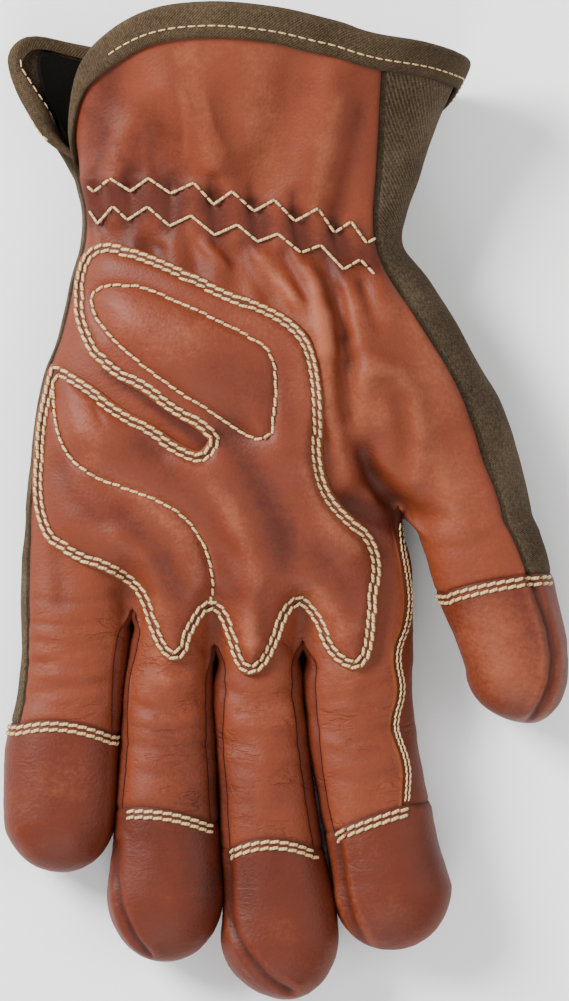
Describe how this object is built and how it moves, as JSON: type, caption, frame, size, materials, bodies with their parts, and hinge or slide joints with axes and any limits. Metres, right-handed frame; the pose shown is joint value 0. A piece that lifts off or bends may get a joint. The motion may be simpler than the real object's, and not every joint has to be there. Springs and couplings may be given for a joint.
{
  "type": "leather driver glove",
  "caption": "Left-hand work glove with leather palm, padded quilted palm patch, leather fingertips, cloth back and bound flared cuff.",
  "frame": {"origin": "middle of the footprint, on the floor under the back of the glove", "axes": "+Y from the fingers to the cuff, +X to the thumb, +Z out of the palm"},
  "size_m": [0.146, 0.2568, 0.0514],
  "materials": {
    "palm_leather": "satin pull-up leather with fine grain",
    "side_leather": "satin leather",
    "tip_leather": "darker worn satin leather",
    "patch_leather": "satin leather over soft padding, raw orange-tan edge",
    "back_cloth": "dark olive-brown twill",
    "binding_cloth": "brown woven tape",
    "lining_cloth": "black napped lining"
  },
  "bodies": {
    "root": {"palm_leather": "palm_leather", "back_fabric": "back_cloth", "fourchette_little_ring": "side_leather", "fourchette_ring_middle": "side_leather", "fourchette_middle_index": "side_leather", "index_side": "side_leather", "cap_little": "tip_leather", "cap_ring": "tip_leather", "cap_middle": "tip_leather", "cap_index": "tip_leather", "cap_thumb": "tip_leather", "palm_patch": "patch_leather", "cuff_binding": "binding_cloth", "cuff_lining": "lining_cloth"}
  },
  "joints": []
}
